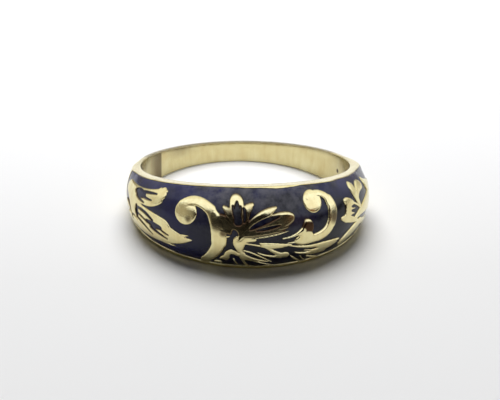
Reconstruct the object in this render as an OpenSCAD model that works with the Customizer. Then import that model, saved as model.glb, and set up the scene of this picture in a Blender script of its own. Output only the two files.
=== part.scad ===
// Enamelled gold band ring, lying on its side with the wide domed head at the front.
// The finger hole runs up and down, the head faces -Y, and the lower edge rests at Z = 0.
// All sizes are millimetres.

/* [Band] */
// Inside diameter of the finger hole
bore_d = 18; // [16:0.5:20]
// Width of the band at the front of the finger hole
front_w = 6.6; // [5.6:0.1:7]
// Width of the band at the sides of the finger hole
side_w = 3.75; // [3.4:0.05:4]
// Width of the band at the back of the finger hole
back_w = 1.8; // [1.6:0.1:2.6]
// Wall of the narrow shank at the back
shank_wall = 0.9; // [0.8:0.05:1.3]

/* [Dome] */
// Radius of the dome across the width of the head
dome_r = 4.5; // [4.3:0.1:5]
// Wall that the round dome would have if it were centred on the finger hole
dome_wall = 1.35; // [1.3:0.05:1.5]
// How far the dome is shifted towards the front, which makes the head thick
dome_shift = 1.85; // [1.6:0.05:2]

/* [Enamel field] */
// Width of the thin gold rim above the enamel
rim_top_w = 0.1; // [0.1:0.05:0.3]
// Width of the plain gold rim below the enamel
rim_bottom_w = 0.45; // [0.35:0.05:0.6]
// Depth of the sunk field below the rim
field_depth = 0.4; // [0.3:0.05:0.5]
// Half of the angle that the enamel field takes up around the head
field_angle = 84; // [80:1:88]
// Height of the raised ornament above the rim
relief_h = 0.2; // [0.1:0.05:0.3]
// How far the round knobs of the two scrolls swell above the ornament
knob_h = 0.1; // [0.08:0.01:0.2]
// How far the enamel lies below the rim
enamel_drop = 0.03; // [0.02:0.01:0.06]

/* [Hidden] */
$fn = 96;
fit_gap = 0.02;
bore_r = bore_d / 2;
hub_r = bore_r + dome_wall - dome_r;
shank_profile_r = 2.5;
shank_hub_r = bore_r + shank_wall - shank_profile_r;
relief_clip = 0.2;
cap_share = 0.84;
trim_share = 0.92;
tall = 20;
edge_fn = 720;
STEPS = 7;

// Half width of the band at the front, the sides and the back of the finger hole
edge_f = front_w / 2;
edge_s = side_w / 2;
edge_b = back_w / 2;
// Each edge is a slack curve through those three: a large circle with its centre far above or below
slope = (edge_b - edge_f) / (2 * bore_r);
bend = ((edge_b + edge_f) / 2 - edge_s) / pow(bore_r, 2);
edge_r = pow(1 + pow(slope, 2), 1.5) / (2 * bend);
edge_y = -edge_r * slope / sqrt(1 + pow(slope, 2));
edge_z = edge_s + edge_r / sqrt(1 + pow(slope, 2));

function half_w(y) = edge_z - sqrt(pow(edge_r, 2) - pow(y - edge_y, 2));

// Distance from the finger hole's axis to the lower edge of the head and of the shank
function head_edge(y, n) = n == 0 ? y
    : head_edge(hub_r + sqrt(pow(dome_r, 2) - pow(half_w(-y), 2)) + dome_shift, n - 1);
function shank_edge(y, n) = n == 0 ? y
    : shank_edge(shank_hub_r + sqrt(pow(shank_profile_r, 2) - pow(half_w(y), 2)), n - 1);
foot_f = head_edge(bore_r, 12);
foot_b = shank_edge(bore_r, 12);
// The ring leans until those two edges stand on the same surface
lean = atan((half_w(-foot_f) - half_w(foot_b)) / (foot_b + foot_f));
lift = half_w(foot_b) * cos(lean) + foot_b * sin(lean);
// The middle of the leaning ring, between the front of the head and the back of the shank
reach_f = (hub_r + dome_shift) * cos(lean) + dome_r + relief_h;
reach_b = shank_hub_r * cos(lean) + shank_profile_r;

// The ornament is drawn in flat sheets that face the ring at an angle round the finger hole.
// A row is one tapered stroke: it runs from x0,z0 by way of x1,z1 to x2,z2, and it is w0, w1 and
// w2 wide there. A cut stroke is an engraved line that the enamel fills.
SHEET_LEFT = -48;
SHEET_SCROLL = -28;
SHEET_MIDDLE = 0;
SHEET_CURL = 26;
SHEET_RIGHT = 48;

//    x0    z0    w0     x1    z1    w1     x2    z2    w2
left_leaf = [
    [-4.6,  1.2,  1.1,  -1.6,  1.42, 1.22,  0.5,  2.15, 0.95],
    [-2.0,  1.05, 0.5,  -0.6,  1.2,  0.6,   0.45, 1.65, 0.8],
    [ 0.1,  2.3,  0.5,   0.5,  2.42, 0.36,  0.9,  2.55, 0.1],
    [-4.2,  0.5,  1.9,  -3.3,  0.5,  2.2,  -2.6,  0.3,  1.6],
    [-2.9,  0.1,  1.3,  -0.6, -0.45, 2.05,  1.0, -0.7,  2.1],
    [-4.3, -0.9,  0.5,  -2.2, -1.32, 0.85,  0.6, -1.55, 0.7],
    [ 0.6, -0.75, 2.1,   2.3, -1.03, 1.25,  3.95,-0.95, 0.1],
    [ 2.6, -0.85, 0.4,   3.2, -0.68, 0.2,   3.7, -0.6,  0.06],
    [ 0.4, -1.7,  0.3,   1.2, -1.82, 0.2,   2.15,-1.92, 0.06]];
left_leaf_cuts = [
    [-3.0,  1.5,  0.25, -2.3,  1.55, 0.62, -1.55, 1.57, 0.42],
    [-1.7,  1.8,  0.14, -0.9,  1.93, 0.14,  0.0,  2.06, 0.04],
    [-1.7,  1.45, 0.2,  -1.1,  1.42, 0.14, -0.45, 1.46, 0.04],
    [-2.7,  1.3,  0.3,  -2.2,  1.12, 0.22, -1.4,  1.0,  0.05],
    [-2.5,  0.3,  0.45, -2.45,-0.1,  0.5,  -2.3, -0.55, 0.25],
    [-2.4,  0.33, 0.12, -1.2,  0.27, 0.24, -0.1, -0.12, 0.2],
    [-2.2, -0.15, 0.12, -1.5, -0.28, 0.12, -0.8, -0.5,  0.16],
    [-0.8, -0.35, 0.3,   0.05,-0.48, 0.66,  0.85,-0.55, 0.4],
    [ 0.7, -0.6,  0.1,   1.2, -0.82, 0.12,  1.7, -0.97, 0.04],
    [-0.3, -0.76, 0.3,   0.5, -1.06, 0.22,  1.5, -1.38, 0.05],
    [-2.5, -0.55, 0.14, -1.5, -0.82, 0.18, -0.3, -1.45, 0.06],
    [-4.9,  0.45, 0.7,  -4.1,  0.05, 0.35, -3.4, -1.0,  0.12]];

left_scroll = [
    [-1.1,  1.85, 0.8,   0.1,  2.32, 0.68,  1.5,  1.8,  0.85],
    [ 1.2,  2.05, 0.6,   2.1,  0.8,  1.15,  2.3, -0.7,  1.3],
    [ 2.35,-0.4,  1.25,  1.9, -1.6,  0.95,  0.75,-2.75, 0.65],
    [ 2.2, -0.4,  0.7,   2.7, -0.25, 0.4,   3.2, -0.15, 0.06]];
// The knob at the end of a scroll: x, z and radius in its sheet
scroll_knob = [-0.7, 1.37, 1];

middle_leaf = [
    [-2.0, -0.1,  0.9,  -2.06, 1.6,  1.15, -2.04, 2.57, 1.12],
    [-1.7,  0.2,  1.0,  -2.3,  1.3,  1.0,  -3.05, 2.15, 0.3],
    [-1.8,  0.3,  1.0,  -1.55, 1.6,  1.0,  -0.8,  2.42, 0.3],
    [-3.3,  0.9,  1.5,  -2.6,  0.6,  1.2,  -1.6,  0.3,  0.8]];
middle_leaf_cuts = [
    [-1.98, 2.76, 0.06, -2.04, 2.2,  0.4,  -1.98, 1.1,  0.62],
    [-2.36, 2.56, 0.05, -2.32, 2.2,  0.16, -2.2,  1.7,  0.3],
    [-1.74, 2.5,  0.05, -1.78, 2.2,  0.14, -1.85, 1.8,  0.2],
    [-1.5,  2.15, 0.08, -1.42, 1.7,  0.2,  -1.5,  1.1,  0.12],
    [-2.3,  0.3,  0.25, -2.25, 0.0,  0.5,  -2.3, -0.35, 0.45]];

side_leaf = [
    [-1.3,  0.3,  0.8,  -0.2,  1.4,  0.9,   1.1,  2.15, 0.22],
    [-1.3,  0.3,  0.8,   0.9,  0.97, 1.45,  2.22, 1.27, 0.9],
    [-1.4,  0.1,  0.6,   0.3,  0.22, 0.75,  1.9,  0.24, 0.08],
    [ 0.6,  0.5,  0.5,   1.3,  0.5,  0.45,  2.0,  0.6,  0.3]];
side_leaf_cuts = [
    [-1.0,  0.55, 0.12,  0.1,  1.1,  0.42,  1.3,  1.5,  0.1],
    [-0.5,  0.42, 0.06,  0.5,  0.6,  0.2,   1.4,  0.78, 0.05]];

curl = [
    [-1.2,  2.6,  0.6,   0.1,  2.67, 0.45,  0.87, 1.87, 0.85],
    [ 0.78, 2.1,  0.8,   1.02, 1.2,  0.92,  0.75, 0.2,  0.92],
    [ 0.75, 0.3,  0.85,  0.1, -0.48, 0.87, -1.2, -0.77, 0.76],
    [-1.1, -0.75, 0.75, -1.9, -0.68, 1.02, -2.45,-0.72, 0.6],
    [-3.75,-0.4,  0.1,  -2.9, -0.25, 0.2,  -2.1,  0.1,  0.5],
    [-3.3, -0.85, 0.06, -2.8, -0.85, 0.14, -2.3, -0.85, 0.3],
    [-2.0, -0.3,  0.9,  -1.6,  0.3,  1.1,  -1.68, 0.8,  0.5]];
curl_knob = [-0.84, 2.22, 0.84];

low_leaf = [
    [-3.3, -1.05, 0.1,  -1.6, -1.45, 0.26,  0.2, -1.55, 0.4],
    [-0.6, -1.55, 0.3,   0.6, -1.68, 0.6,   1.95,-1.52, 0.1],
    [-0.9, -2.05, 0.3,   0.4, -1.98, 0.55,  1.6, -1.75, 0.3],
    [-2.5, -1.85, 0.08, -1.3, -2.15, 0.3,   0.4, -2.2,  0.5],
    [-1.7, -1.78, 0.05, -0.9, -1.92, 0.12, -0.2, -2.0,  0.25],
    [-2.8, -2.15, 0.06, -2.2, -2.6,  0.16, -1.4, -3.05, 0.06],
    [-1.9, -2.3,  0.05, -1.5, -2.7,  0.12, -1.0, -3.05, 0.05],
    [-1.2, -2.5,  0.08, -0.4, -2.8,  0.22,  0.6, -3.1,  0.08]];

grass = [
    [-1.85,-0.55, 1.1,  -1.86,-1.0,  0.8,  -1.72,-1.72, 0.12],
    [-3.25,-2.3,  0.25, -3.0, -2.2,  0.45, -2.8, -2.2,  0.5],
    [-2.85,-2.3,  0.45, -2.6, -1.62, 0.5,  -1.9, -1.85, 0.3],
    [-3.75,-2.8,  0.1,  -3.5, -2.72, 0.28, -3.2, -2.8,  0.18],
    [-1.5, -0.42, 0.5,  -1.0, -0.38, 0.42, -0.65,-0.4,  0.3],
    [-1.4, -0.74, 0.14, -0.5, -0.9,  0.16,  0.5, -1.15, 0.2],
    [-0.25,-0.7,  0.06,  0.8, -1.0,  0.52,  2.4, -1.03, 0.12],
    [ 0.3, -1.1,  0.24,  0.85,-1.5,  0.3,   1.45,-1.85, 0.35],
    [ 1.1, -2.05, 0.2,   1.6, -2.0,  0.5,   2.02,-2.0,  0.56],
    [-0.35,-1.62, 0.08,  0.5, -1.98, 0.2,   1.6, -2.2,  0.25],
    [-1.5, -1.42, 0.12, -0.6, -1.75, 0.16,  0.85,-2.65, 0.08],
    [-1.6, -1.75, 0.5,  -0.9, -2.2,  0.3,   0.6, -2.62, 0.08],
    [-1.6, -2.1,  0.4,  -0.6, -2.5,  0.18,  0.9, -3.1,  0.06],
    [-1.6, -2.0,  0.4,  -1.4, -2.6,  0.24, -0.9, -3.2,  0.14],
    [-2.25,-2.3,  0.1,  -2.1, -2.6,  0.16, -1.85,-2.95, 0.06]];

right_leaf = [
    [-1.72, 1.55, 0.35, -1.3,  1.35, 0.7,  -0.75, 1.15, 0.45],
    [-1.4,  1.3,  0.8,  -1.45, 0.7,  0.85, -1.8,  0.05, 0.7],
    [-2.4,  0.22, 0.3,  -1.5, -0.05, 0.65,  0.05,-0.62, 0.25],
    [-0.9,  1.2,  0.3,  -0.2,  0.9,  0.2,   0.6,  0.35, 0.2],
    [-1.2,  0.75, 0.3,  -0.8,  0.68, 0.16, -0.35, 0.58, 0.05],
    [-1.2,  0.35, 0.35, -0.8,  0.28, 0.16, -0.5,  0.18, 0.05],
    [-0.12, 2.2,  0.8,   0.08, 1.5,  0.6,   0.6,  0.45, 0.3],
    [ 0.4,  1.35, 0.3,   0.75, 1.85, 0.7,   1.5,  1.95, 0.7],
    [ 2.7,  2.0,  0.3,   3.3,  1.35, 0.9,   5.2,  0.3,  1.6],
    [-0.3, -0.3,  0.4,   1.5,  0.1,  1.0,   4.4,  0.1,  2.2],
    [ 0.6, -0.95, 0.8,  -0.7, -1.42, 0.85, -1.9, -2.12, 0.6],
    [ 0.5, -0.85, 0.5,   1.8, -1.25, 0.6,   3.2, -1.5,  0.4]];

function along(a, b, c, t) = (1 - t) * (1 - 2 * t) * a + 4 * t * (1 - t) * b + t * (2 * t - 1) * c;
function heading(a, b, c, t) = (4 * t - 3) * a + 4 * (1 - 2 * t) * b + (4 * t - 1) * c;
function unit(v) = v / norm(v);

// Outline of one stroke: down one side, round the far end, back up the other and round the start
function stroke(s) =
    let (a = [s[0], s[1]], b = [s[3], s[4]], c = [s[6], s[7]],
         side = function (t, k)
             let (u = unit(heading(a, b, c, t)), w = along(s[2], s[5], s[8], t) / 2)
             along(a, b, c, t) + k * w * [u[1], -u[0]],
         tip = function (t, k)
             let (u = unit(heading(a, b, c, t)), w = along(s[2], s[5], s[8], t) / 2)
             [for (q = [-60 : 30 : 60]) along(a, b, c, t)
                 + w * (k * cos(q) * u + k * sin(q) * [-u[1], u[0]])])
    concat([for (i = [0 : STEPS]) side(i / STEPS, 1)], tip(1, 1),
           [for (i = [STEPS : -1 : 0]) side(i / STEPS, -1)], tip(0, -1));

module strokes(rows) {
    for (s = rows) {
        polygon(stroke(s));
    }
}

module round_knob(knob, share) {
    translate([knob[0], knob[1]]) circle(share * knob[2]);
}

// The sheets of ornament, each grown by the given amount
module left_sheet(grow) {
    offset(delta = grow) difference() {
        strokes(left_leaf);
        strokes(left_leaf_cuts);
    }
}

module scroll_sheet(grow) {
    offset(delta = grow) union() {
        strokes(left_scroll);
        round_knob(scroll_knob, 1);
    }
}

module middle_sheet(grow) {
    offset(delta = grow) union() {
        difference() {
            strokes(middle_leaf);
            strokes(middle_leaf_cuts);
        }
        difference() {
            strokes(side_leaf);
            strokes(side_leaf_cuts);
        }
        strokes(grass);
    }
}

module curl_sheet(grow) {
    offset(delta = grow) union() {
        strokes(curl);
        strokes(low_leaf);
        round_knob(curl_knob, 1);
    }
}

module right_sheet(grow) {
    offset(delta = grow) strokes(right_leaf);
}

// A sheet cut as a block that points outwards from the finger hole
module facing(angle) {
    rotate([0, 0, angle]) rotate([90, 0, 0]) translate([0, 0, bore_r - 0.5])
        linear_extrude(6) children();
}

module ornament(grow) {
    facing(SHEET_LEFT) left_sheet(grow);
    facing(SHEET_SCROLL) scroll_sheet(grow);
    facing(SHEET_MIDDLE) middle_sheet(grow);
    facing(SHEET_CURL) curl_sheet(grow);
    facing(SHEET_RIGHT) right_sheet(grow);
}

// Solid of revolution under the dome, grown or shrunk by the given amount
module dome(grow) {
    translate([0, -dome_shift, 0]) rotate_extrude($fn = 180) {
        translate([0, -dome_r - grow]) square([hub_r, 2 * (dome_r + grow)]);
        intersection() {
            translate([hub_r, 0]) circle(dome_r + grow, $fn = 180);
            translate([hub_r, -tall / 2]) square([tall, tall]);
        }
    }
}

// Round top of a knob: a low cap of a sphere that stands on the ornament over the knob's middle
function dome_reach(angle, z) = let (rho = hub_r + sqrt(pow(dome_r, 2) - pow(z, 2)))
    dome_shift * cos(angle) + sqrt(pow(rho, 2) - pow(dome_shift * sin(angle), 2));

module knob_cap(angle, knob) {
    reach = dome_reach(angle, knob[1]);
    turn = angle + asin(knob[0] / reach);
    dome_turn = atan2(reach * sin(turn), reach * cos(turn) - dome_shift);
    rise = asin(knob[1] / dome_r);
    cap_r = 1 / (2 * knob_h / pow(cap_share * knob[2], 2) + 1 / (dome_r + relief_h));
    intersection() {
        facing(angle) round_knob(knob, trim_share);
        translate([0, -dome_shift, 0]) rotate([0, 0, dome_turn]) translate([0, -hub_r, 0])
            rotate([-rise, 0, 0]) translate([0, cap_r - knob_h - relief_h - dome_r, 0])
                sphere(cap_r);
    }
}

module shank() {
    rotate_extrude($fn = 180) {
        translate([0, -shank_profile_r]) square([shank_hub_r, 2 * shank_profile_r]);
        intersection() {
            translate([shank_hub_r, 0]) circle(shank_profile_r, $fn = 180);
            translate([shank_hub_r, -tall / 2]) square([tall, tall]);
        }
    }
}

// Block between the two edges of the band, seen from the side and narrowed by the given amounts
module between_edges(top, bottom) {
    rotate([90, 0, 90]) linear_extrude(2 * tall, center = true) difference() {
        translate([-tall, -tall / 2]) square([2 * tall, tall]);
        translate([edge_y, edge_z]) circle(edge_r + top, $fn = edge_fn);
        translate([edge_y, -edge_z]) circle(edge_r + bottom, $fn = edge_fn);
    }
}

// Wedge that holds the enamel field, in front of the two slanted ends of the field
module field_wedge(grow) {
    reach = 1.2 * tall;
    far = [reach * sin(field_angle), -reach * cos(field_angle)];
    translate([0, 0, -tall / 2]) linear_extrude(tall) polygon([
        [0, grow],
        [far[0], far[1] + grow],
        [far[0], -reach],
        [-far[0], -reach],
        [-far[0], far[1] + grow]]);
}

// The ring as it lies on its side
module lying() {
    translate([0, (reach_f - reach_b) / 2, lift]) rotate([-lean, 0, 0]) children();
}

module band() {
    color("goldenrod") lying() difference() {
        union() {
            difference() {
                intersection() {
                    union() {
                        dome(0);
                        shank();
                    }
                    between_edges(0, 0);
                }
                intersection() {
                    difference() {
                        dome(1);
                        dome(-field_depth);
                    }
                    between_edges(rim_top_w, rim_bottom_w);
                    field_wedge(0);
                }
            }
            intersection() {
                ornament(0);
                dome(relief_h);
                between_edges(relief_clip, relief_clip);
            }
            knob_cap(SHEET_SCROLL, scroll_knob);
            knob_cap(SHEET_CURL, curl_knob);
        }
        cylinder(r = bore_r, h = tall, center = true, $fn = 180);
    }
}

module enamel() {
    color("midnightblue") lying() difference() {
        intersection() {
            difference() {
                dome(-enamel_drop);
                dome(fit_gap - field_depth);
            }
            between_edges(rim_top_w + fit_gap, rim_bottom_w + fit_gap);
            field_wedge(-fit_gap);
        }
        ornament(fit_gap);
    }
}

band();
enamel();
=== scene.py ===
import math
import bpy
import numpy as np
from mathutils import Matrix, Vector


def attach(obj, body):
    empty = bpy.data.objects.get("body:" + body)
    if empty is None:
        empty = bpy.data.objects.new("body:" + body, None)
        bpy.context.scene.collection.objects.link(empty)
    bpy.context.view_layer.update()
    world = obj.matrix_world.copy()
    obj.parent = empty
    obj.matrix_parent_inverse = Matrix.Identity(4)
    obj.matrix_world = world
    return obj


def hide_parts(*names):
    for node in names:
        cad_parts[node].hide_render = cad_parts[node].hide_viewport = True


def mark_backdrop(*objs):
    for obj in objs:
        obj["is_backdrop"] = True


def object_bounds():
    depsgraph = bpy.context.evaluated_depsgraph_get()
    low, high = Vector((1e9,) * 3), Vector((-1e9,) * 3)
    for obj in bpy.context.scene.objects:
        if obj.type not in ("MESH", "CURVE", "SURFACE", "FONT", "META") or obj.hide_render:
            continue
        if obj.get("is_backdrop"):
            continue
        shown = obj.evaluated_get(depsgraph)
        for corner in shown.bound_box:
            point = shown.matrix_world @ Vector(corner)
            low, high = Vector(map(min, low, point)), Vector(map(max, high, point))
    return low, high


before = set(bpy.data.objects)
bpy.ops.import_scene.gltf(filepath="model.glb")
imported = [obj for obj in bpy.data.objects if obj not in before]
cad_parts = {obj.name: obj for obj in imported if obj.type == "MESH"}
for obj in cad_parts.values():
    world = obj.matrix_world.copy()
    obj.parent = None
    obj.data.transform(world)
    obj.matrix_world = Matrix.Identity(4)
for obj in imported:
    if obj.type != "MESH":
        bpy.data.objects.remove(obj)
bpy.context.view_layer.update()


# One casting of yellow gold: a narrow shank behind, a wide domed head in front with a plain rim
# above and below, and between the rims a sunk field with leaves and scrolls standing up in it.
# It is cast, the ornament is chased sharp by hand, and rims and high places are polished.
MM = 0.001  # the ring's sizes are in millimetres, and lying() turns its points into metres
bore_r = 9.0
dome_r, dome_wall, dome_shift = 4.5, 1.35, 1.85
shank_r, shank_wall = 2.5, 0.9
hub_r = bore_r + dome_wall - dome_r
shank_hub_r = bore_r + shank_wall - shank_r
melt, melt_back = 0.12, 0.6  # how softly dome and shank join, and the share taken off again

# each side face is cut along a circle through the half widths at the front, the side and the back
half_front, half_side, half_back = 3.3, 1.875, 0.9
edge_slope = (half_back - half_front) / (2 * bore_r)
edge_bend = ((half_back + half_front) / 2 - half_side) / bore_r ** 2
edge_r = (1 + edge_slope ** 2) ** 1.5 / (2 * edge_bend)
edge_y = -edge_r * edge_slope / math.sqrt(1 + edge_slope ** 2)
edge_z = half_side + edge_r / math.sqrt(1 + edge_slope ** 2)

relief_h = 0.2  # most that the ornament rises above the dome
rim_top, rim_bottom = 0.1, 0.45  # gold left above and below the field
field_angle = math.radians(84)  # how far the field reaches to each side
field_floor, stroke_top = -0.25, 0.06  # levels of the sunk floor and of a stroke's flat


def half_width(y):
    """Half the band's width at a distance y behind the axis of the finger hole."""
    return edge_z - np.sqrt(edge_r ** 2 - (y - edge_y) ** 2)


def outer_r(angle, z, rise=0.0):
    """Distance from the axis of the finger hole to the outside, raised above the dome by rise."""
    def hoop(hub, section, shift):
        # the 0.01 keeps the root real past the section's own reach
        rho = hub + np.sqrt(np.maximum((section + rise) ** 2 - z ** 2, 0.01))
        return shift * np.cos(angle) + np.sqrt(rho ** 2 - (shift * np.sin(angle)) ** 2)
    head, shank = hoop(hub_r, dome_r, dome_shift), hoop(shank_hub_r, shank_r, 0)
    return (head + shank + np.sqrt((head - shank) ** 2 + melt ** 2) - melt * melt_back) / 2


def step(value, low, high):
    """Smooth rise from 0 to 1 between two values."""
    t = np.clip((value - low) / (high - low), 0, 1)
    return t * t * (3 - 2 * t)


# The upper outer corner of the head is worn, on the left (-1) and on the right (1): how much and
# between which angles that sets in, how much more and where, and where it has gone again.
WEAR = [(-1, (0.3, 12, 22), (-0.06, 52, 62), (74, 86)),
        (1, (0.42, 34, 44), (0.1, 50, 60), (66, 88))]
wear_depth = 1.1


def edge_wear(angle, depth):
    """How far the casting's upper outer corner is rounded in, at a depth below that corner."""
    back_wall_shade = 0.0
    for side, (first, *first_at), (more, *more_at), gone in WEAR:
        turn = side * np.degrees(angle)
        back_wall_shade = back_wall_shade + (first * step(turn, *first_at)
                       + more * step(turn, *more_at)) * (1 - step(turn, *gone))
    return back_wall_shade * (1 - np.clip(depth / wear_depth, 0, 1)) ** 2


def rim_at(angle, wear=0.0, rounds=14):
    """Radius and half width of the band at its outer edge, each worked out from the other."""
    r = np.full_like(angle, bore_r + 1)
    for _ in range(rounds):
        r = outer_r(angle, half_width(-r * np.cos(angle))) - wear
    return r, half_width(-r * np.cos(angle))


# The ring lies on its lower edge at the front and the back, and leans, as the head is wider.
foot_r, foot_z = rim_at(np.array([0.0, math.pi]))
foot_y = foot_r * np.array([-1, 1])
lean = math.atan2(foot_z[0] - foot_z[1], foot_y[1] - foot_y[0])
lift = foot_z[1] * math.cos(lean) + foot_y[1] * math.sin(lean)
middle = ((hub_r + dome_shift - shank_hub_r) * math.cos(lean) + dome_r + relief_h - shank_r) / 2


def lying(points):
    """Points of the ring, made round the finger hole's axis, moved to where it lies, in metres."""
    x, y, z = points[..., 0], points[..., 1], points[..., 2]
    c, s = math.cos(-lean), math.sin(-lean)
    return np.stack([x, y * c - z * s + middle, y * s + z * c + lift], -1) * MM
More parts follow.
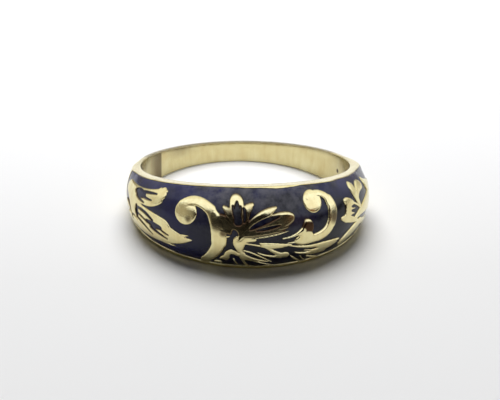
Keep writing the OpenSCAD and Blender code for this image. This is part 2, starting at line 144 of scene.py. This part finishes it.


# The ornament, drawn in sheets that face the ring at an angle round the finger hole. One row is one
# tapered stroke from x0,z0 by way of x1,z1 to x2,z2, w0, w1 and w2 wide there, in millimetres.
# at: the sheet's angle. raised: strokes that stand up, their middles higher by crown. engraved:
# strokes cut out of them again. tilt: 1 for a leaf that stands off flat where the dome falls away.
# a painted dark reflection: how deep in gold a polished leaf's low part is painted brown for the
# dark room it mirrors, and between which heights it gets clean.
# knob, dimple and the spots: a round boss, a round hollow painted brown inside, and brown spots,
# both painted dark reflections, each with x, z and radius.
SHEETS = {
    "left leaf": dict(at=-48, crown=0.02, raised=[
        # x0    z0    w0     x1    z1    w1     x2    z2    w2
        (-4.6,  1.2,  1.1,  -1.6,  1.42, 1.22,  0.5,  2.15, 0.95),
        (-2.0,  1.05, 0.5,  -0.6,  1.2,  0.6,   0.4,  1.72, 0.76),
        ( 0.2,  2.13, 0.85,  0.55, 2.27, 0.5,   0.9,  2.42, 0.16),
        (-4.2,  0.5,  1.9,  -3.3,  0.5,  2.2,  -2.6,  0.3,  1.6),
        (-2.9,  0.1,  1.3,  -0.6, -0.45, 2.05,  1.0, -0.7,  2.1),
        (-4.3, -0.9,  0.5,  -2.2, -1.32, 0.85,  0.6, -1.55, 0.7),
        ( 0.6, -0.75, 2.1,   2.3, -1.03, 1.25,  3.95,-0.95, 0.1),
        ( 2.6, -0.85, 0.4,   3.2, -0.68, 0.2,   3.7, -0.6,  0.06),
        ( 0.4, -1.7,  0.3,   1.2, -1.82, 0.2,   2.15,-1.92, 0.06)],
        engraved=[
        (-3.0,  1.5,  0.25, -2.3,  1.55, 0.62, -1.55, 1.57, 0.42),
        (-1.7,  1.8,  0.14, -0.9,  1.93, 0.14,  0.0,  2.06, 0.04),
        (-1.7,  1.45, 0.2,  -1.1,  1.42, 0.14, -0.45, 1.46, 0.04),
        (-2.7,  1.3,  0.3,  -2.2,  1.12, 0.22, -1.4,  1.0,  0.05),
        (-2.5,  0.3,  0.45, -2.45,-0.1,  0.5,  -2.3, -0.55, 0.25),
        (-2.4,  0.33, 0.12, -1.2,  0.27, 0.24, -0.1, -0.12, 0.2),
        (-2.2, -0.15, 0.12, -1.5, -0.28, 0.12, -0.8, -0.5,  0.16),
        (-0.8, -0.38, 0.26,  0.05,-0.5,  0.48,  0.85,-0.55, 0.32),
        ( 0.7, -0.6,  0.1,   1.2, -0.82, 0.12,  1.7, -0.97, 0.04),
        (-0.3, -0.76, 0.3,   0.5, -1.06, 0.22,  1.5, -1.38, 0.05),
        (-2.5, -0.55, 0.14, -1.5, -0.82, 0.18, -0.3, -1.45, 0.06),
        (-4.9,  0.45, 0.7,  -4.1,  0.05, 0.35, -3.4, -1.0,  0.12)]),
    "left scroll": dict(at=-28, crown=0.06, raised=[
        (-1.1,  1.85, 0.8,   0.1,  2.32, 0.68,  1.5,  1.8,  0.85),
        ( 1.2,  2.05, 0.6,   2.1,  0.8,  1.15,  2.3, -0.7,  1.3),
        ( 2.35,-0.4,  1.25,  1.9, -1.6,  0.95,  0.75,-2.75, 0.65),
        ( 2.2, -0.4,  0.7,   2.7, -0.25, 0.4,   3.2, -0.15, 0.06)],
        knob=(-0.7, 1.37, 1.0), dimple=(-0.38, 0.9, 0.55),
        dark_reflection_spots=[(2.25, 0.85, 1.1), (2.7, 0.15, 0.6)]),
    "middle leaf": dict(at=0, crown=0.04, tilt=1.0, dark_reflection_paint=(0.02, 1.9, 2.3), raised=[
        (-2.0, -0.1,  0.9,  -2.06, 1.6,  1.15, -2.04, 2.57, 1.12),
        (-1.7,  0.2,  1.0,  -2.3,  1.3,  1.0,  -3.05, 2.15, 0.3),
        (-1.8,  0.3,  1.0,  -1.55, 1.6,  1.0,  -0.8,  2.42, 0.3),
        (-3.3,  0.9,  1.5,  -2.6,  0.6,  1.2,  -1.6,  0.3,  0.8)],
        engraved=[
        (-2.0,  2.62, 0.04, -2.03, 2.1,  0.34, -1.98, 1.1,  0.6),
        (-2.34, 2.3,  0.05, -2.3,  2.0,  0.14, -2.2,  1.6,  0.26),
        (-1.76, 2.3,  0.05, -1.78, 2.0,  0.12, -1.85, 1.7,  0.2),
        (-1.5,  2.15, 0.08, -1.42, 1.7,  0.2,  -1.5,  1.1,  0.12),
        (-2.3,  0.3,  0.25, -2.25, 0.0,  0.5,  -2.3, -0.35, 0.45)]),
    "side leaf": dict(at=0, crown=0.05, tilt=1.0, dark_reflection_paint=(0.036, 1.2, 1.9), raised=[
        (-1.3,  0.3,  0.8,  -0.2,  1.4,  0.9,   1.1,  2.15, 0.22),
        (-1.3,  0.3,  0.8,   0.9,  0.97, 1.45,  2.22, 1.27, 0.9),
        (-1.4,  0.1,  0.6,   0.3,  0.29, 0.62,  1.9,  0.3,  0.08),
        ( 0.6,  0.5,  0.5,   1.3,  0.5,  0.45,  2.0,  0.6,  0.3)],
        engraved=[
        (-1.0,  0.55, 0.12,  0.1,  1.1,  0.42,  1.3,  1.5,  0.1),
        (-0.5,  0.42, 0.06,  0.5,  0.6,  0.2,   1.4,  0.78, 0.05)]),
    "grass": dict(at=0, crown=0.02, raised=[
        (-1.85,-0.55, 1.1,  -1.86,-1.0,  0.8,  -1.72,-1.72, 0.12),
        (-3.25,-2.3,  0.25, -3.0, -2.2,  0.45, -2.8, -2.2,  0.5),
        (-2.85,-2.3,  0.45, -2.6, -1.62, 0.5,  -1.9, -1.85, 0.3),
        (-3.75,-2.8,  0.1,  -3.5, -2.72, 0.28, -3.2, -2.8,  0.18),
        (-1.5, -0.42, 0.5,  -1.0, -0.38, 0.42, -0.65,-0.4,  0.3),
        (-0.9, -0.28, 0.1,   0.7, -0.07, 0.14,  2.1,  0.2,  0.05),
        (-1.4, -0.74, 0.14, -0.5, -0.9,  0.16,  0.5, -1.15, 0.2),
        (-0.25,-0.7,  0.06,  0.8, -1.0,  0.52,  2.4, -1.03, 0.12),
        ( 0.3, -1.1,  0.24,  0.85,-1.5,  0.3,   1.45,-1.85, 0.35),
        ( 1.1, -2.05, 0.2,   1.6, -2.0,  0.5,   2.02,-2.0,  0.56),
        (-0.35,-1.62, 0.08,  0.5, -1.98, 0.2,   1.6, -2.2,  0.25),
        (-1.5, -1.42, 0.12, -0.6, -1.75, 0.16,  0.85,-2.65, 0.08),
        (-1.6, -1.75, 0.5,  -0.9, -2.2,  0.3,   0.6, -2.62, 0.08),
        (-1.6, -2.1,  0.4,  -0.6, -2.5,  0.18,  0.9, -3.1,  0.06),
        (-1.6, -2.0,  0.4,  -1.4, -2.6,  0.24, -0.9, -3.2,  0.14),
        (-2.25,-2.3,  0.1,  -2.1, -2.6,  0.16, -1.85,-2.95, 0.06)]),
    "curl": dict(at=26, crown=0.08, raised=[
        (-1.2,  2.6,  0.6,   0.1,  2.67, 0.45,  0.87, 1.87, 0.85),
        ( 0.78, 2.1,  0.8,   1.02, 1.2,  0.92,  0.75, 0.2,  0.92),
        ( 0.75, 0.3,  0.85,  0.1, -0.48, 0.87, -1.2, -0.77, 0.76),
        (-1.1, -0.75, 0.75, -1.9, -0.68, 1.02, -2.45,-0.72, 0.6),
        (-3.75,-0.4,  0.1,  -2.9, -0.25, 0.2,  -2.1,  0.1,  0.5),
        (-3.3, -0.85, 0.06, -2.8, -0.85, 0.14, -2.3, -0.85, 0.3),
        (-2.05,-0.35, 0.5,  -1.7, -0.3,  0.6,  -1.3, -0.35, 0.4)],
        knob=(-0.84, 2.22, 0.84), dark_reflection_spots=[(1.1, 0.7, 1.0)]),
    "leaflet": dict(at=26, crown=0.1, dark_reflection_paint=(0.0, 0.72, 0.95), raised=[
        (-2.0, -0.3,  0.9,  -1.6,  0.3,  1.1,  -1.68, 0.8,  0.5)]),
    "low leaf": dict(at=26, crown=0.02, raised=[
        (-3.3, -1.05, 0.1,  -1.6, -1.45, 0.26,  0.2, -1.55, 0.4),
        (-0.6, -1.55, 0.3,   0.6, -1.68, 0.6,   1.95,-1.52, 0.1),
        (-0.9, -2.05, 0.3,   0.4, -1.98, 0.55,  1.6, -1.75, 0.3),
        (-2.5, -1.85, 0.08, -1.3, -2.15, 0.3,   0.4, -2.2,  0.5),
        (-1.7, -1.78, 0.05, -0.9, -1.92, 0.12, -0.2, -2.0,  0.25),
        (-2.8, -2.15, 0.06, -2.2, -2.6,  0.16, -1.4, -3.05, 0.06),
        (-1.9, -2.3,  0.05, -1.5, -2.7,  0.12, -1.0, -3.05, 0.05),
        (-1.2, -2.5,  0.08, -0.4, -2.8,  0.22,  0.6, -3.1,  0.08)]),
    "right leaf": dict(at=48, crown=0.02, raised=[
        (-1.72, 1.55, 0.35, -1.3,  1.35, 0.7,  -0.75, 1.15, 0.45),
        (-1.4,  1.3,  0.8,  -1.45, 0.7,  0.85, -1.8,  0.05, 0.7),
        (-2.4,  0.22, 0.3,  -1.5, -0.05, 0.65,  0.05,-0.62, 0.25),
        (-0.9,  1.2,  0.3,  -0.2,  0.9,  0.2,   0.6,  0.35, 0.2),
        (-1.2,  0.75, 0.3,  -0.8,  0.68, 0.16, -0.35, 0.58, 0.05),
        (-1.2,  0.35, 0.35, -0.8,  0.28, 0.16, -0.5,  0.18, 0.05),
        (-0.12, 2.2,  0.8,   0.08, 1.5,  0.6,   0.6,  0.45, 0.3),
        ( 0.4,  1.35, 0.3,   0.75, 1.85, 0.7,   1.5,  1.95, 0.7),
        ( 2.7,  2.0,  0.3,   3.3,  1.35, 0.9,   5.2,  0.3,  1.6),
        (-0.3, -0.3,  0.4,   1.5,  0.1,  1.0,   4.4,  0.1,  2.2),
        ( 0.6, -0.95, 0.8,  -0.7, -1.42, 0.85, -1.9, -2.12, 0.6),
        ( 0.5, -0.85, 0.5,   1.8, -1.25, 0.6,   3.2, -1.5,  0.4)]),
}


far_out = -9.0  # mark of a point that is in no stroke at all


def depth_in_stroke(row, x, z, steps=10):
    """How far each point lies inside the outline of a stroke, negative outside it."""
    x0, z0, w0, x1, z1, w1, x2, z2, w2 = row
    t = np.linspace(0, 1, steps + 1)
    start, mid, end = (1 - t) * (1 - 2 * t), 4 * t * (1 - t), t * (2 * t - 1)
    px, pz = start * x0 + mid * x1 + end * x2, start * z0 + mid * z1 + end * z2
    half = (start * w0 + mid * w1 + end * w2) / 2
    best = np.full(x.shape, far_out)
    for i in range(steps):
        ax, az, bx, bz = px[i], pz[i], px[i + 1] - px[i], pz[i + 1] - pz[i]
        along = np.clip(((x - ax) * bx + (z - az) * bz) / (bx * bx + bz * bz), 0, 1)
        away = np.hypot(x - ax - along * bx, z - az - along * bz)
        best = np.maximum(best, half[i] + along * (half[i + 1] - half[i]) - away)
    return best


def pillow(depth, soft):
    """Rounded top of a chased stroke, full height where it is deeper than soft."""
    return 1 - (1 - np.clip(depth / soft, 0, 1)) ** 2


def stroke_side(depth):
    """Steep side of a stroke or a knob, from the sunk floor up to the stroke's flat."""
    return field_floor + (stroke_top - field_floor) * step(depth, -0.07, 0.03)


def painted_spot_mark(away, radius, darkest, core):
    """Mark of a brown spot painted for a dark reflection: darkest within its core, a share of its
    radius, and then cleaner.
    """
    return darkest + 0.1 * step(away, core * radius, radius)


def rim_strip(angle):
    """Height of the gold left outside the upper rim, cut unevenly by hand."""
    turn = np.degrees(angle)
    thin_left = 0.08 * (1 - step(turn, -14, -6))
    thin_right = 0.06 * step(turn, 15, 20)
    hump = 0.07 * np.exp(-((turn - 8) / 6) ** 2)
    return np.maximum(rim_top - thin_left - thin_right + hump, 0.01)


sheet_reach = 6  # no sheet has a stroke further out than this
flat_z, flat_most = 0.84, 0.07  # where a flat leaf touches the dome, and its most above there
knob_rise, dimple_depth = 0.07, 0.015
shade_setback = 0.045  # how far the painted shade at the edge of a stroke, knob or rim is kept back from it


def ornament(angle, z):
    """Height of the metal above the dome over the enamel field, and how deep inside the gold, a
    mark that also sets the painted shade and painted dark reflections.
    """
    r = outer_r(angle, z)
    height = np.full(r.shape, field_floor)
    inside = np.full(r.shape, far_out)
    for sheet in SHEETS.values():
        turn = angle - math.radians(sheet["at"])
        x = r * np.sin(turn)
        near = (np.abs(x) < sheet_reach) & (np.cos(turn) > 0.5)
        xn, zn = x[near], z[near]
        top = np.full(xn.shape, field_floor)
        gold = np.full(xn.shape, far_out)
        stand_off = (zn - flat_z) ** 2 / (2 * dome_r)
        stand_off = sheet.get("tilt", 0) * np.where(
            zn > flat_z, np.minimum(stand_off, flat_most), stand_off)
        for row in sheet["raised"]:
            depth = depth_in_stroke(row, xn, zn)
            top = np.maximum(top, stroke_side(depth) + stand_off * step(depth, -0.05, 0.1)
                             + sheet["crown"] * pillow(depth, 0.2))
            # a leaf's low part is painted brown, a painted reflection of the dark room in front,
            # clean higher up
            if "dark_reflection_paint" in sheet:
                dark, low, high = sheet["dark_reflection_paint"]
                bright = step(zn, low, high)
                depth = np.minimum(depth, dark * step(depth, 0.06, 0.2) + 0.09 * bright)
            else:
                depth = depth + shade_setback
            gold = np.maximum(gold, depth)
        if "knob" in sheet:
            kx, kz, kr = sheet["knob"]
            depth = kr - np.hypot(xn - kx, zn - kz)
            top = np.maximum(top, stroke_side(depth) + knob_rise * pillow(depth, kr))
            gold = np.maximum(gold, depth + shade_setback)
        # a shallow hollow, painted brown inside for the dark it mirrors
        if "dimple" in sheet:
            px, pz, pr = sheet["dimple"]
            away = np.hypot(xn - px, zn - pz)
            top = top - dimple_depth * (1 - step(away, 0, pr))
            gold = np.minimum(gold, painted_spot_mark(away, pr, 0.02, 0.1))
        # brown spots painted on the gold for dark reflections
        for px, pz, pr in sheet.get("dark_reflection_spots", ()):
            away = np.hypot(xn - px, zn - pz)
            gold = np.minimum(gold, painted_spot_mark(away, pr, 0.01, 0.2))
        # cuts are painted dark along their edges, a painted shade, wider in the leaves with a
        # painted dark reflection
        cut_shade_border = 0.06 if "dark_reflection_paint" in sheet else 0.01
        for row in sheet.get("engraved", ()):
            depth = depth_in_stroke(row, xn, zn)
            top = top + (field_floor - top) * step(depth, -0.04, 0.05)
            gold = np.minimum(gold, -depth - cut_shade_border)
        height[near] = np.maximum(height[near], top)
        inside[near] = np.maximum(inside[near], gold)
    return height, inside


def rounded(a, b, c):
    """Three points between a and c, round the corner b."""
    return [[(1 - t) ** 2 * a[k] + 2 * t * (1 - t) * b[k] + t * t * c[k] for k in (0, 1)]
            for t in (0.25, 0.5, 0.75)]


outer_bend, upper_bend, lower_bend = 0.05, 0.06, 0.02  # how far the band's corners are rounded
clean_mark = 0.3  # mark of gold that is well clear of any painted shade


def band_skin():
    """Grid of points all the way round the band, and how deep in clean gold each one is, the mark
    that sets its painted shade.
    """
    # columns round the ring, closest over the ornament, and two at the sharp edge of the painted
    # dark patch on the inner wall
    angle = np.radians(np.concatenate([
        np.linspace(-180, -132, 16), [-131.2, -130.8],
        *(np.linspace(start, end, count, endpoint=False) for start, end, count in (
            (-129, -92, 12), (-92, -74, 40), (-74, 66, 470), (66, 92, 60), (92, 180, 30)))]))
    turn = np.degrees(angle)
    rim_r, rim_z = rim_at(angle)
    top_r, top_z = rim_at(angle, edge_wear(angle, 0))
    bore_z = half_width(-bore_r * np.cos(angle))

    # rows across the outside, from the upper rim down to the lower one, closest at the upper
    share = np.concatenate([np.linspace(1, 0.962, 7), np.linspace(0.952, -1, 121)])[:, None]
    z = share * (np.where(share > 0, top_z, rim_z) - outer_bend)
    wide = np.broadcast_to(angle, z.shape)
    height, inside = ornament(wide, z)
    thin = rim_strip(wide)
    # 1 over the sunk field, 0 on the rims and past its ends
    field = (step(top_z - z, thin - 0.03, thin + 0.03)
             * step(rim_z + z, rim_bottom - 0.05, rim_bottom + 0.05)
             * step(field_angle - np.abs(wide), -0.004, 0.004))
    # the sunk floor is shallower close under the thin upper rim
    floor = -0.08 - 0.17 * step(top_z - z, 0.06, 0.2)
    height = np.maximum(height * field, floor)
    rim_in = np.maximum(np.maximum(thin - top_z + z, rim_bottom - rim_z - z),
                        (np.abs(wide) - field_angle) * rim_r)
    inside = np.where(field < 0.5, np.clip(rim_in + shade_setback, -0.02, clean_mark), inside)
    r = outer_r(wide, z, height) - edge_wear(wide, top_z - z)
    outside = list(zip(r, z, inside))

    # the inner wall is painted a little darker behind, a painted shade, and darker still behind
    # along its top row and in a patch on the left with a sharp edge, both painted dark reflections;
    # a faint blotch at the back left is darker too
    wall_reflection_patch = 0.012 + 0.04 * step(turn, -128, -115) + 0.25 * np.maximum(
        step(turn, -112, -88), 1 - step(turn, -132.5, -131))
    back_wall_shade = 0.054 + 0.23 * (1 - step(np.abs(turn), 74, 92))
    blotch = 0.024 * np.exp(-((turn + 147) / 8) ** 2)
    wall = []
    for share_in in np.linspace(-1, 1, 9):
        mark = back_wall_shade - 0.014 * (share_in == 1) - blotch * step(share_in, -0.2, 1)
        wall.append((bore_r, share_in * (bore_z - upper_bend), np.minimum(wall_reflection_patch, mark)))

    # the upper face and the rounded corners of the side faces are painted dark olive behind, a
    # painted dark reflection
    back_face_reflection = clean_mark - 0.26 * step(np.abs(turn), 95, 120)

    def side(k, end_r, end_z, bend, wear, mark):
        """Rows over the upper (1) or lower (-1) side face, from the finger hole outwards."""
        side_in, side_out, skin_z = bore_r + bend, end_r - outer_bend, end_z - outer_bend
        face = [(radius, k * half_width(-radius * np.cos(angle)))
                for radius in (side_in, side_in + 0.5 * (side_out - side_in), side_out)]
        inner = rounded((bore_r, k * (bore_z - bend)), (bore_r, k * bore_z), face[0])
        outer = rounded(face[-1], (end_r, k * end_z), (outer_r(angle, skin_z) - wear, k * skin_z))
        return [(*place, back_face_reflection) for place in inner] + [(*place, mark) for place in face] + [
            (*place, back_face_reflection) for place in outer]

    upper = side(1, top_r, top_z, upper_bend, edge_wear(angle, outer_bend), back_face_reflection)
    lower = side(-1, rim_r, rim_z, lower_bend, 0, clean_mark)
    radius, level, marks = (np.array([np.broadcast_to(row[k], angle.shape) for row in
                                      wall + upper + outside + lower[::-1]]) for k in range(3))
    return np.stack([radius * np.sin(angle), -radius * np.cos(angle), level], -1), marks


def smooth_piece(name, points, faces):
    """Closed piece with a smooth surface, from points of the ring and faces of four."""
    mesh = bpy.data.meshes.new(name)
    mesh.from_pydata(lying(points.reshape(-1, 3)).tolist(), [], faces.tolist(), shade_flat=False)
    piece = bpy.data.objects.new(name, mesh)
    bpy.context.scene.collection.objects.link(piece)
    return piece


class Wire:
    """A socket in a material, so that a formula on wires adds the nodes that work it out."""

    def __init__(self, tree, socket=None):
        self.tree, self.socket = tree, socket

    def node(self, kind, settings=None, sockets=None, out=0):
        """Any node, by its type, its settings and the values or wires of its sockets."""
        made = self.tree.nodes.new(kind)
        for key, value in (settings or {}).items():
            setattr(made, key, value)
        for key, value in (sockets or {}).items():
            plug(made, key, value)
        return Wire(self.tree, made.outputs[out])

    def maths(self, operation, *values):
        """A Math node on wires and numbers, in that order."""
        return self.node("ShaderNodeMath", {"operation": operation}, dict(enumerate(values)))

    def __add__(self, other):
        return self.maths("ADD", self, other)

    __radd__ = __add__

    def __rsub__(self, other):
        return self.maths("SUBTRACT", other, self)

    def __mul__(self, other):
        return self.maths("MULTIPLY", self, other)

    __rmul__ = __mul__

    def rise(self, low, high):
        """0 below low, 1 above high and straight between."""
        return self.node("ShaderNodeMapRange", {"clamp": True},
                         {"Value": self, "From Min": low, "From Max": high})

    def blend(self, first, second):
        """The first colour where this wire is 0 and the second where it is 1."""
        return self.node("ShaderNodeMix", {"data_type": "RGBA"},
                         {"Factor": self, "A": first, "B": second}, "Result")

    def noise(self, scale, detail=3.0, rough=0.5):
        """Cloudy pattern over this wire's coordinates, about scale lumps to a metre."""
        return self.node("ShaderNodeTexNoise", {"noise_dimensions": "3D"},
                         {"Vector": self, "Scale": scale, "Detail": detail, "Roughness": rough})


def plug(node, name, value):
    """Sets a node's socket to a value, or leads a wire to it."""
    if isinstance(value, Wire):
        value.tree.links.new(value.socket, node.inputs[name])
    else:
        node.inputs[name].default_value = value


def new_material(name):
    """Empty node material, its shader node and a wire to build on."""
    material = bpy.data.materials.new(name)
    material.use_nodes = True
    tree = material.node_tree
    return material, tree.nodes["Principled BSDF"], Wire(tree)


pale_gold, deep_gold = (0.8, 0.73, 0.4, 1), (0.69, 0.58, 0.28, 1)
painted_shade_brown = (0.06, 0.033, 0.017, 1)
gold, gold_shader, start = new_material("polished_gold")
place = start.node("ShaderNodeTexCoord", out="Object")
# painted shade and painted dark reflections, brown where the gold's mark is low: along the edges of
# strokes and cuts, on the dark leaves and spots, and behind on the inner wall, going clean 0.08 mm
# into the gold;
# and brown in a small pit in the inner wall
depth = start.node("ShaderNodeAttribute", {"attribute_name": "depth_in_gold"}, out="Fac")
painted_dark_share = 1 - depth.rise(0.0, 0.08)
pit_turn, pit_level = math.radians(108), 0.1
pit = lying(np.array([bore_r * math.sin(pit_turn), -bore_r * math.cos(pit_turn), pit_level]))
away = place.node("ShaderNodeVectorMath", {"operation": "DISTANCE"},
                  {0: place, 1: tuple(pit)}, "Value")
painted_dark_share = painted_dark_share.maths("MAXIMUM", painted_dark_share, 1 - away.rise(0.00012, 0.0003))
cloud = place.noise(900.0, 4.0)
fine = place.noise(5200.0, 3.0)
# faint polishing lines that run up and down
streak = start.node("ShaderNodeMapping", {},
                    {"Vector": place, "Scale": (1.0, 1.0, 0.12)}).noise(2400.0, 2.0)
clean = (0.6 * cloud + 0.4 * streak).rise(0.36, 0.64).blend(deep_gold, pale_gold)
plug(gold_shader, "Base Color", painted_dark_share.blend(clean, painted_shade_brown))
plug(gold_shader, "Metallic", 1.0)
plug(gold_shader, "Roughness", 0.08 + 0.08 * cloud + 0.12 * painted_dark_share)
bumps = start.node("ShaderNodeBump", {}, {"Strength": 0.25, "Distance": 0.00004,
                                          "Height": fine + 0.8 * place.noise(1800.0, 2.0)})
plug(gold_shader, "Normal", bumps)

skin, marks = band_skin()
index = np.arange(marks.size).reshape(marks.shape)
right, down = np.roll(index, -1, 1), np.roll(index, -1, 0)
faces = np.stack([index, down, np.roll(down, -1, 1), right], -1).reshape(-1, 4)
band = smooth_piece("gold_band", skin, faces)
layer = band.data.attributes.new("depth_in_gold", "FLOAT", "POINT")
layer.data.foreach_set("value", np.clip(marks, -1, 1).astype(np.float32).ravel())
band.data.materials.append(gold)
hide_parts("band")
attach(band, "root")


# Glass fused into the sunk field, near black navy, ground and polished almost level with the rims.
# It lies round the whole ornament, and is a little bluer where it is thin along the upper rim.
# It is one thin shell under all the leaves: a seen face, and a back sunk in the gold behind it.
enamel_top, enamel_back = -0.03, field_floor - 0.1  # levels against the dome
back_tuck = 0.12  # how much lower the back ends under the upper rim
rim_lap, low_lap = 0.02, 0.03  # how far it goes in behind the gold of the upper and lower rim
turns = np.linspace(-field_angle, field_angle, 420)
share = np.linspace(1, 0, 60)[:, None]
rim_r, rim_z = rim_at(turns)
top_r, top_z = rim_at(turns, edge_wear(turns, 0))
sheets = []
for rise, tuck, order in ((enamel_top, 0, 1), (enamel_back, back_tuck, -1)):
    upper = top_z - np.maximum(rim_strip(turns) - rim_lap, 0.05) - tuck
    levels = share * upper - (1 - share) * (rim_z - rim_bottom + low_lap)
    spread = np.broadcast_to(turns, levels.shape)
    r = outer_r(spread, levels, rise) - edge_wear(spread, top_z - levels)
    sheets.append(np.stack([r * np.sin(spread), -r * np.cos(spread), levels], -1)[::order])


def shell_faces(m, n):
    """Faces of a closed thin shell between a front and a back grid of m by n points."""
    front = np.arange(m * n).reshape(m, n)
    back = front[::-1] + m * n
    quads = [np.stack([front[:-1, :-1], front[1:, :-1], front[1:, 1:], front[:-1, 1:]], -1),
             np.stack([back[:-1, :-1], back[:-1, 1:], back[1:, 1:], back[1:, :-1]], -1)]
    for a, b in ((front[0], back[0]), (back[-1], front[-1]),
                 (back[:, 0], front[:, 0]), (front[:, -1], back[:, -1])):
        quads.append(np.stack([a[:-1], a[1:], b[1:], b[:-1]], -1))
    return np.concatenate([q.reshape(-1, 4) for q in quads])


near_black, navy_blue = (0.002, 0.002, 0.006, 1), (0.014, 0.015, 0.085, 1)
smoky_sheen_grey = (0.16, 0.155, 0.175, 1)
enamel_mat, enamel_shader, start = new_material("navy_enamel")
place = start.node("ShaderNodeTexCoord", out="Object")
across, height_up = (place.node("ShaderNodeSeparateXYZ", {}, {0: place}, k) for k in "XZ")
clouds = place.noise(420.0, 2.0).rise(0.4, 0.62)
smoke = place.noise(1300.0, 4.0, 0.6).rise(0.34, 0.8)
edge_blue = height_up.rise(0.003, 0.0062)
left = (-1 * across).rise(0.003, 0.007)
blue = (0.12 + 0.88 * edge_blue) * clouds + 0.5 * left
navy = blue.blend(near_black, navy_blue)
# along the upper rim, on the left and in the middle, it is painted lighter in smoky grey clouds:
# partly the glass's own smoke, partly a painted sheen of the bright ceiling
smoke_and_sheen = smoke * edge_blue * (1 - across.rise(0.003, 0.007)) * (1 - 0.8 * left)
plug(enamel_shader, "Base Color", smoke_and_sheen.blend(navy, smoky_sheen_grey))
plug(enamel_shader, "Roughness", 0.1 + 0.12 * place.noise(2600.0, 3.0))
plug(enamel_shader, "Specular IOR Level", 0.3)
ripples = start.node("ShaderNodeBump", {}, {"Strength": 0.3, "Distance": 0.00005,
                                            "Height": place.noise(1500.0, 2.0)})
plug(enamel_shader, "Normal", ripples)
enamel = smooth_piece("enamel_field", np.stack(sheets), shell_faces(*sheets[0].shape[:2]))
enamel.data.materials.append(enamel_mat)
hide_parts("enamel")
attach(enamel, "root")


# The plain pale table top that the ring lies on, matt, and painted a little greyer towards the
# front, a painted shade where the light falls off.
# The ring is only laid on it, so the table belongs to the stage.
bpy.ops.mesh.primitive_plane_add(size=1.6)
table = bpy.context.object
table.name = "table"
table_mat, table_shader, start = new_material("pale_table")
place = start.node("ShaderNodeTexCoord", out="Object")
backwards = place.node("ShaderNodeSeparateXYZ", {}, {0: place}, "Y")
shaded_front, lit_back = (0.82, 0.82, 0.82, 1), (0.95, 0.95, 0.96, 1)
plug(table_shader, "Base Color", backwards.rise(-0.01, 0.035).blend(shaded_front, lit_back))
plug(table_shader, "Roughness", 0.7)
table.data.materials.append(table_mat)


# The plain studio that the gold mirrors: a bright ceiling over a dark room in front, with a paler
# wall on the left and a warm patch on the right, and behind the ring a pale wall, browner below.
# It only shows in reflections, and gives the table no light.
ceiling, dark_room = (1.35, 1.4, 1.6, 1), (0.012, 0.01, 0.01, 1)
left_wall, warm_patch = (0.7, 0.66, 0.6, 1), (0.5, 0.24, 0.1, 1)
wall_low, wall_high = (0.85, 0.85, 0.85, 1), (1.15, 1.15, 1.15, 1)
wall_brown = (0.25, 0.2, 0.1, 1)
world = bpy.data.worlds.new("studio")
bpy.context.scene.world = world
world.use_nodes = True
sky = Wire(world.node_tree)
toward = sky.node("ShaderNodeTexCoord", out="Generated")
across, ahead, up = (toward.node("ShaderNodeSeparateXYZ", {}, {0: toward}, k) for k in "XYZ")
side = across.maths("ABSOLUTE", across)
high = (up + 0.4 * side + 0.16 * across).rise(0.6, 0.72)
left_side = 0.68 * (-1 * across).rise(0.58, 0.92)
warm = across.rise(0.5, 0.6) * (1 - across.rise(0.8, 0.9)) * up.rise(-0.05, 0.02)
room = left_side.blend(dark_room, left_wall)
room = (0.5 * warm).blend(room, warm_patch)
room = high.blend(room, ceiling)
back_wall = up.rise(0.1, 0.35).blend(wall_low, wall_high)
far_wall = ahead.rise(0.5, 0.9) * (1 - up.rise(0.2, 0.45))
back_wall = (0.7 * far_wall).blend(back_wall, wall_brown)
glow = ahead.rise(0.0, 0.3).blend(room, back_wall)
plug(world.node_tree.nodes["Background"], "Color", glow)
world.cycles_visibility.diffuse = False
bpy.context.scene.view_settings.view_transform = "Standard"


# The lamps: one large round soft box above and a little behind the ring. A tiny weak one in the
# finger hole stands for the light that the polished inner wall throws back on the table there.
def soft_light(name, spot, aim, size, power):
    """Round soft lamp at a spot in metres, turned towards aim."""
    lamp = bpy.data.lights.new(name, "AREA")
    lamp.shape, lamp.size, lamp.energy = "DISK", size, power
    light = bpy.data.objects.new(name, lamp)
    light.location = spot
    light.rotation_euler = (Vector(aim) - Vector(spot)).to_track_quat("-Z", "Y").to_euler()
    bpy.context.scene.collection.objects.link(light)
    return light


softbox = soft_light("softbox", (0.0, 0.125, 0.28), (0, 0, 0), 0.3, 1.3)
bounce = soft_light("light_off_inner_wall", (0, 0.002, 0.006), (0, 0.009, 0), 0.006, 0.0003)
softbox.visible_glossy = bounce.visible_glossy = bounce.visible_camera = False
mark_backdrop(table, softbox, bounce)


# The camera stands in front of the ring, a little to the left, and looks down on the head. Its
# lens is long for its distance, so the ring is drawn with little perspective.
picture_width, sensor = 500, 36
view_down, view_turn, view_roll = (math.radians(a) for a in (27.68, 7.74, 2.01))
view_far, view_scale = 170.0, 11.614  # millimetres away, and pixels to a millimetre there
aim_x, aim_z = 0.316, 1.344  # the point looked at, across the view and above the table
look = Vector((math.sin(view_turn) * math.cos(view_down),
               math.cos(view_turn) * math.cos(view_down), -math.sin(view_down)))
aim = Vector((aim_x * math.cos(view_turn), -aim_x * math.sin(view_turn), aim_z))
lens = bpy.data.cameras.new("camera")
lens.sensor_width = sensor
lens.lens = sensor * view_scale * view_far / picture_width
lens.clip_start, lens.clip_end = 0.01, 5
camera = bpy.data.objects.new("camera", lens)
facing = look.to_track_quat("-Z", "Y").to_matrix()
facing = facing @ Matrix.Rotation(view_roll, 3, "Z")
camera.matrix_world = Matrix.Translation((aim - look * view_far) * MM) @ facing.to_4x4()
bpy.context.scene.collection.objects.link(camera)
bpy.context.scene.camera = camera

low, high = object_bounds()
